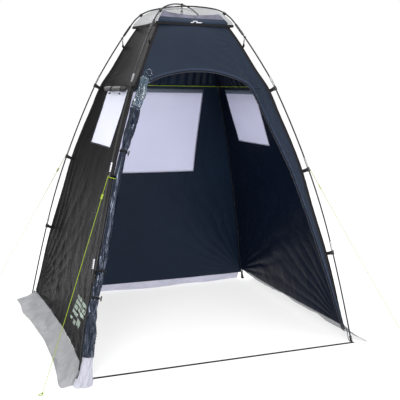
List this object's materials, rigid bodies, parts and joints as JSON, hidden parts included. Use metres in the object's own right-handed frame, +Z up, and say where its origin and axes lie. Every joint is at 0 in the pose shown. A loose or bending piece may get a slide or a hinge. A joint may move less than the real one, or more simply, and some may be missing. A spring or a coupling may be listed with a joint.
{
  "type": "privacy shower tent",
  "caption": "Tall pop-up privacy shelter: crossed flexible poles hold four tapering fabric walls, mesh roof, windows, rolled door, ground flaps and guy lines",
  "frame": {"origin": "centre of the four pole feet, on the ground", "axes": "+X to the right seen from the front, +Y from the doorway to the back wall, +Z up; the doorway faces -Y"},
  "size_m": [2.445, 2.2043, 2.1749],
  "materials": {
    "black_plastic": "moulded",
    "blind": "rolled coated polyester",
    "charcoal": "coated woven polyester",
    "clear_roll": "rolled clear film",
    "clip_grey": "moulded",
    "dark_navy": "coated woven polyester, inside face dark",
    "elastic": "covered elastic cord",
    "green_cord": "neon green braid",
    "mesh": "open insect mesh",
    "navy": "coated woven polyester, navy",
    "pole": "satin black coated fibreglass rod",
    "skirt": "translucent grey polyethylene flap",
    "steel": "plain drawn tube",
    "tape": "woven tape",
    "window": "translucent milky film",
    "zip": "coil zip and tape"
  },
  "bodies": {
    "root": {"back_blind_roll": "blind", "back_skirt": "skirt", "back_wall": "dark_navy", "back_window": "window", "blind_ties": "tape", "clip_webbing": "tape", "corner_elastics": "elastic", "corner_hooks": "black_plastic", "corner_sleeves": "black_plastic", "crossing_tie": "black_plastic", "door_flap_roll": "skirt", "door_roll": "navy", "door_ties": "tape", "door_window_roll": "clear_roll", "door_zip": "zip", "foot_straps": "tape", "front_panel": "navy", "guy_line_bl": "green_cord", "guy_line_fl": "green_cord", "guy_line_fr": "green_cord", "guy_loops": "green_cord", "left_blind_roll": "blind", "left_skirt": "skirt", "left_wall": "charcoal", "left_window": "window", "line_tabs": "tape", "pole_a_sections": "pole", "pole_b_sections": "pole", "pole_feet": "black_plastic", "pole_ferrules": "steel", "right_blind_roll": "blind", "right_skirt": "skirt", "right_wall": "dark_navy", "right_window": "window", "roof_arc_a": "pole", "roof_arc_b": "pole", "roof_clip_tabs": "tape", "roof_clips": "black_plastic", "roof_eyelet": "tape", "roof_front_band": "navy", "roof_hem_tape": "tape", "roof_mesh": "mesh", "threshold_strap": "tape", "wall_clips": "clip_grey", "washing_line": "green_cord"},
    "toggle_left_front": {"toggle_left_front": "black_plastic"},
    "toggle_left_back": {"toggle_left_back": "black_plastic"},
    "toggle_right_front": {"toggle_right_front": "black_plastic"},
    "toggle_right_back": {"toggle_right_back": "black_plastic"},
    "toggle_back_right": {"toggle_back_right": "black_plastic"},
    "toggle_back_left": {"toggle_back_left": "black_plastic"},
    "door_toggle_upper": {"door_toggle_upper": "black_plastic"},
    "door_toggle_lower": {"door_toggle_lower": "black_plastic"},
    "lantern_hook": {"lantern_hook": "black_plastic"},
    "guy_runner_fl": {"guy_runner_fl": "black_plastic"},
    "guy_runner_fr": {"guy_runner_fr": "black_plastic"},
    "guy_runner_bl": {"guy_runner_bl": "black_plastic"},
    "zip_slider": {"zip_slider": "black_plastic"},
    "zip_pull": {"zip_pull": "black_plastic"}
  },
  "joints": [
    {"name": "toggle_left_front_turn", "type": "hinge", "parent": "root", "child": "toggle_left_front", "pos_m": [-0.48882, -0.2, 1.576], "axis": [-1, 0, 0], "range_deg": [-80, 80]},
    {"name": "toggle_left_back_turn", "type": "hinge", "parent": "root", "child": "toggle_left_back", "pos_m": [-0.48882, 0.04, 1.576], "axis": [-1, 0, 0], "range_deg": [-80, 80]},
    {"name": "toggle_right_front_turn", "type": "hinge", "parent": "root", "child": "toggle_right_front", "pos_m": [0.48882, -0.2, 1.576], "axis": [1, 0, 0], "range_deg": [-80, 80]},
    {"name": "toggle_right_back_turn", "type": "hinge", "parent": "root", "child": "toggle_right_back", "pos_m": [0.48882, 0.07, 1.576], "axis": [1, 0, 0], "range_deg": [-80, 80]},
    {"name": "toggle_back_right_turn", "type": "hinge", "parent": "root", "child": "toggle_back_right", "pos_m": [0.155, 0.45412, 1.576], "axis": [0, 1, 0], "range_deg": [-80, 80]},
    {"name": "toggle_back_left_turn", "type": "hinge", "parent": "root", "child": "toggle_back_left", "pos_m": [-0.155, 0.45412, 1.576], "axis": [0, 1, 0], "range_deg": [-80, 80]},
    {"name": "door_toggle_upper_turn", "type": "hinge", "parent": "root", "child": "door_toggle_upper", "pos_m": [-0.53008, -0.55529, 1.23338], "axis": [0.9379, -0.0976, -0.3328], "range_deg": [-80, 80]},
    {"name": "door_toggle_lower_turn", "type": "hinge", "parent": "root", "child": "door_toggle_lower", "pos_m": [-0.74961, -0.75505, 0.42813], "axis": [0.9699, -0.0615, -0.2357], "range_deg": [-80, 80]},
    {"name": "lantern_hook_swing", "type": "hinge", "parent": "root", "child": "lantern_hook", "pos_m": [0, 0, 2.124], "axis": [1, 0, 0], "range_deg": [-60, 60]},
    {"name": "guy_runner_fl_slide", "type": "slide", "parent": "root", "child": "guy_runner_fl", "axis": [-0.3602, -0.2774, -0.8907], "range_m": [-0.09, 0.3]},
    {"name": "guy_runner_fr_slide", "type": "slide", "parent": "root", "child": "guy_runner_fr", "axis": [0.4421, -0.2597, -0.8585], "range_m": [-0.09, 0.3]},
    {"name": "guy_runner_bl_slide", "type": "slide", "parent": "root", "child": "guy_runner_bl", "axis": [-0.3573, 0.4309, -0.8286], "range_m": [-0.09, 0.3]},
    {"name": "zip_slider_run", "type": "slide", "parent": "root", "child": "zip_slider", "axis": [-0.2688, 0.1888, 0.9445], "range_m": [0, 0.42]},
    {"name": "zip_pull_flip", "type": "hinge", "parent": "zip_slider", "child": "zip_pull", "pos_m": [0.84292, -0.79697, 0.11127], "axis": [-0.9632, -0.0527, -0.2636], "range_deg": [0, 150]}
  ]
}
